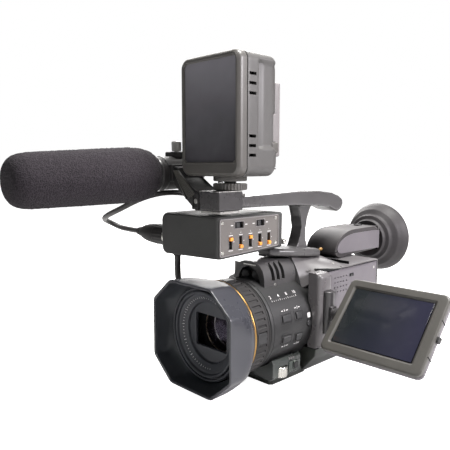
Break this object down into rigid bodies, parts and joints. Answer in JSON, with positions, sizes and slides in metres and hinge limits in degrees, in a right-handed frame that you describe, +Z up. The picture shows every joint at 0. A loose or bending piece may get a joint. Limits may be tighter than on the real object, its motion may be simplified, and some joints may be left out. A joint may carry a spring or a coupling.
{
  "type": "camcorder",
  "caption": "Hand-held camcorder with lens hood, flip-out screen, tilting eyepiece, top handle, shotgun microphone, audio adapter box and on-board lamp.",
  "frame": {"origin": "on the flat underside of the base, straight under the lens axis and near the middle of the body, where the tripod plate seats", "axes": "+Z up, +Y from the lens to the eyepiece, parallel to the lens axis, +X towards the side with the flip-out screen"},
  "size_m": [0.2922, 0.3987, 0.2746],
  "materials": {
    "charcoal": "satin textured moulding",
    "barrel_black": "satin",
    "hood_black": "satin",
    "base_grey": "matte textured",
    "panel_grey": "satin",
    "bezel_grey": "satin",
    "lamp_grey": "fine texture",
    "battery_grey": "fine texture",
    "box_black": "fine textured paint",
    "rubber_black": "matte",
    "foam_black": "open-cell foam",
    "cord_black": "satin PVC",
    "gold": "polished",
    "silver": "bright",
    "glass": "coated",
    "lamp_window": "clear over a grey diffuser",
    "orange": "gloss",
    "button_black": "satin",
    "board_green": "solder mask",
    "webbing": "woven nylon",
    "record_red": "gloss"
  },
  "bodies": {
    "camera_body": {"base_plate": "base_grey", "left_shell": "charcoal", "right_shell": "charcoal", "top_cover": "charcoal", "rear_shell": "charcoal", "lens_barrel": "barrel_black", "handle": "charcoal", "gold_ring": "gold", "lens_hood": "hood_black", "lens_mask": "hood_black", "front_lens": "glass", "prism_block": "glass", "main_board": "board_green", "dial_pod": "base_grey", "mic_bracket": "rubber_black", "mic_clamp": "rubber_black", "mic_tube": "charcoal", "windscreen": "foam_black", "audio_box": "box_black", "audio_panel": "panel_grey", "xlr_plug": "silver", "mic_cable": "cord_black", "box_lead": "cord_black", "lead_plug": "rubber_black", "lamp_foot": "bezel_grey", "lamp_front_shell": "bezel_grey", "lamp_rear_shell": "lamp_grey", "lamp_window": "lamp_window", "lamp_board": "board_green"},
    "lcd_hinge": {"lcd_hinge_block": "charcoal"},
    "lcd_panel": {"lcd_bezel": "bezel_grey", "lcd_cover": "charcoal", "lcd_glass": "glass"},
    "viewfinder": {"viewfinder_housing": "charcoal", "eyecup": "rubber_black", "eyepiece_lens": "glass"},
    "cassette_door": {"grip_cover": "charcoal", "hand_strap": "webbing", "strap_pad": "webbing"},
    "focus_ring": {"focus_ring": "rubber_black"},
    "iris_dial": {"iris_dial": "silver"},
    "dial_button": {"dial_button": "button_black"},
    "user_button_1": {"user_button_1": "button_black"},
    "user_button_2": {"user_button_2": "button_black"},
    "user_button_3": {"user_button_3": "button_black"},
    "user_button_4": {"user_button_4": "button_black"},
    "display_button": {"display_button": "button_black"},
    "lock_wheel": {"lock_wheel": "bezel_grey"},
    "clamp_screw": {"clamp_screw": "silver"},
    "zoom_rocker": {"zoom_rocker": "button_black"},
    "record_button": {"record_button": "record_red"},
    "battery": {"battery": "battery_grey"},
    "lamp_battery": {"lamp_battery": "panel_grey"},
    "channel_switch_1": {"channel_switch_1": "orange"},
    "channel_switch_2": {"channel_switch_2": "orange"},
    "channel_switch_3": {"channel_switch_3": "orange"},
    "channel_switch_4": {"channel_switch_4": "orange"},
    "channel_switch_5": {"channel_switch_5": "orange"},
    "input_switch_1": {"input_switch_1": "button_black"},
    "input_switch_2": {"input_switch_2": "button_black"}
  },
  "joints": [
    {"name": "focus_turn", "type": "hinge", "parent": "camera_body", "child": "focus_ring", "pos_m": [0, -0.086, 0.05], "axis": [0, 1, 0], "continuous": true},
    {"name": "iris_turn", "type": "hinge", "parent": "camera_body", "child": "iris_dial", "pos_m": [0.0332, -0.057, 0.013], "axis": [0, 0, 1], "continuous": true},
    {"name": "dial_press", "type": "slide", "parent": "camera_body", "child": "dial_button", "axis": [-1, 0, 0], "range_m": [0, 0.001], "stiffness_N_per_m": 300},
    {"name": "user_button_1_press", "type": "slide", "parent": "camera_body", "child": "user_button_1", "axis": [-0.9703, 0, -0.2419], "range_m": [0, 0.0011], "stiffness_N_per_m": 300},
    {"name": "user_button_2_press", "type": "slide", "parent": "camera_body", "child": "user_button_2", "axis": [-0.972, 0, -0.2351], "range_m": [0, 0.0011], "stiffness_N_per_m": 300},
    {"name": "user_button_3_press", "type": "slide", "parent": "camera_body", "child": "user_button_3", "axis": [-0.9803, 0, 0.1977], "range_m": [0, 0.0011], "stiffness_N_per_m": 300},
    {"name": "user_button_4_press", "type": "slide", "parent": "camera_body", "child": "user_button_4", "axis": [-0.972, 0, 0.2351], "range_m": [0, 0.0011], "stiffness_N_per_m": 300},
    {"name": "display_button_press", "type": "slide", "parent": "camera_body", "child": "display_button", "axis": [-1, 0, 0], "range_m": [0, 0.0008], "stiffness_N_per_m": 300},
    {"name": "lcd_swing", "type": "hinge", "parent": "camera_body", "child": "lcd_hinge", "pos_m": [0.05, -0.012, 0.06], "axis": [0, 0, 1], "range_deg": [-30, 20]},
    {"name": "lcd_tilt", "type": "hinge", "parent": "lcd_hinge", "child": "lcd_panel", "pos_m": [0.0604, -0.01135, 0.05859], "axis": [1, 0, 0], "range_deg": [-226, 43]},
    {"name": "viewfinder_tilt", "type": "hinge", "parent": "camera_body", "child": "viewfinder", "pos_m": [0.003, 0.051, 0.11], "axis": [1, 0, 0], "range_deg": [0, 24]},
    {"name": "lock_wheel_turn", "type": "hinge", "parent": "camera_body", "child": "lock_wheel", "pos_m": [0.003, -0.087, 0.17], "axis": [0, 0, 1], "range_deg": [0, 540]},
    {"name": "clamp_screw_turn", "type": "hinge", "parent": "camera_body", "child": "clamp_screw", "pos_m": [-0.06, -0.0927, 0.20147], "axis": [0, -0.0349, 0.9994], "range_deg": [0, 720]},
    {"name": "zoom_rock", "type": "hinge", "parent": "camera_body", "child": "zoom_rocker", "pos_m": [-0.034, 0.006, 0.098], "axis": [1, 0, 0], "range_deg": [-6, 6], "stiffness_Nm_per_rad": 0.05},
    {"name": "record_press", "type": "slide", "parent": "camera_body", "child": "record_button", "axis": [0, -1, 0], "range_m": [0, 0.0012], "stiffness_N_per_m": 300},
    {"name": "cassette_door_swing", "type": "hinge", "parent": "camera_body", "child": "cassette_door", "pos_m": [-0.045, 0, 0.012], "axis": [0, -1, 0], "range_deg": [0, 25]},
    {"name": "battery_slide", "type": "slide", "parent": "camera_body", "child": "battery", "axis": [0, 0, 1], "range_m": [0, 0.012]},
    {"name": "lamp_battery_slide", "type": "slide", "parent": "camera_body", "child": "lamp_battery", "axis": [0, 1, 0], "range_m": [0, 0.012]},
    {"name": "channel_switch_1_slide", "type": "slide", "parent": "camera_body", "child": "channel_switch_1", "axis": [0, 0, 1], "range_m": [-0.006, 0]},
    {"name": "channel_switch_2_slide", "type": "slide", "parent": "camera_body", "child": "channel_switch_2", "axis": [0, 0, 1], "range_m": [0, 0.006]},
    {"name": "channel_switch_3_slide", "type": "slide", "parent": "camera_body", "child": "channel_switch_3", "axis": [0, 0, 1], "range_m": [-0.006, 0]},
    {"name": "channel_switch_4_slide", "type": "slide", "parent": "camera_body", "child": "channel_switch_4", "axis": [0, 0, 1], "range_m": [0, 0.006]},
    {"name": "channel_switch_5_slide", "type": "slide", "parent": "camera_body", "child": "channel_switch_5", "axis": [0, 0, 1], "range_m": [0, 0.006]},
    {"name": "input_switch_1_slide", "type": "slide", "parent": "camera_body", "child": "input_switch_1", "axis": [0, 1, 0], "range_m": [0, 0.005]},
    {"name": "input_switch_2_slide", "type": "slide", "parent": "camera_body", "child": "input_switch_2", "axis": [0, 1, 0], "range_m": [0, 0.005]}
  ]
}
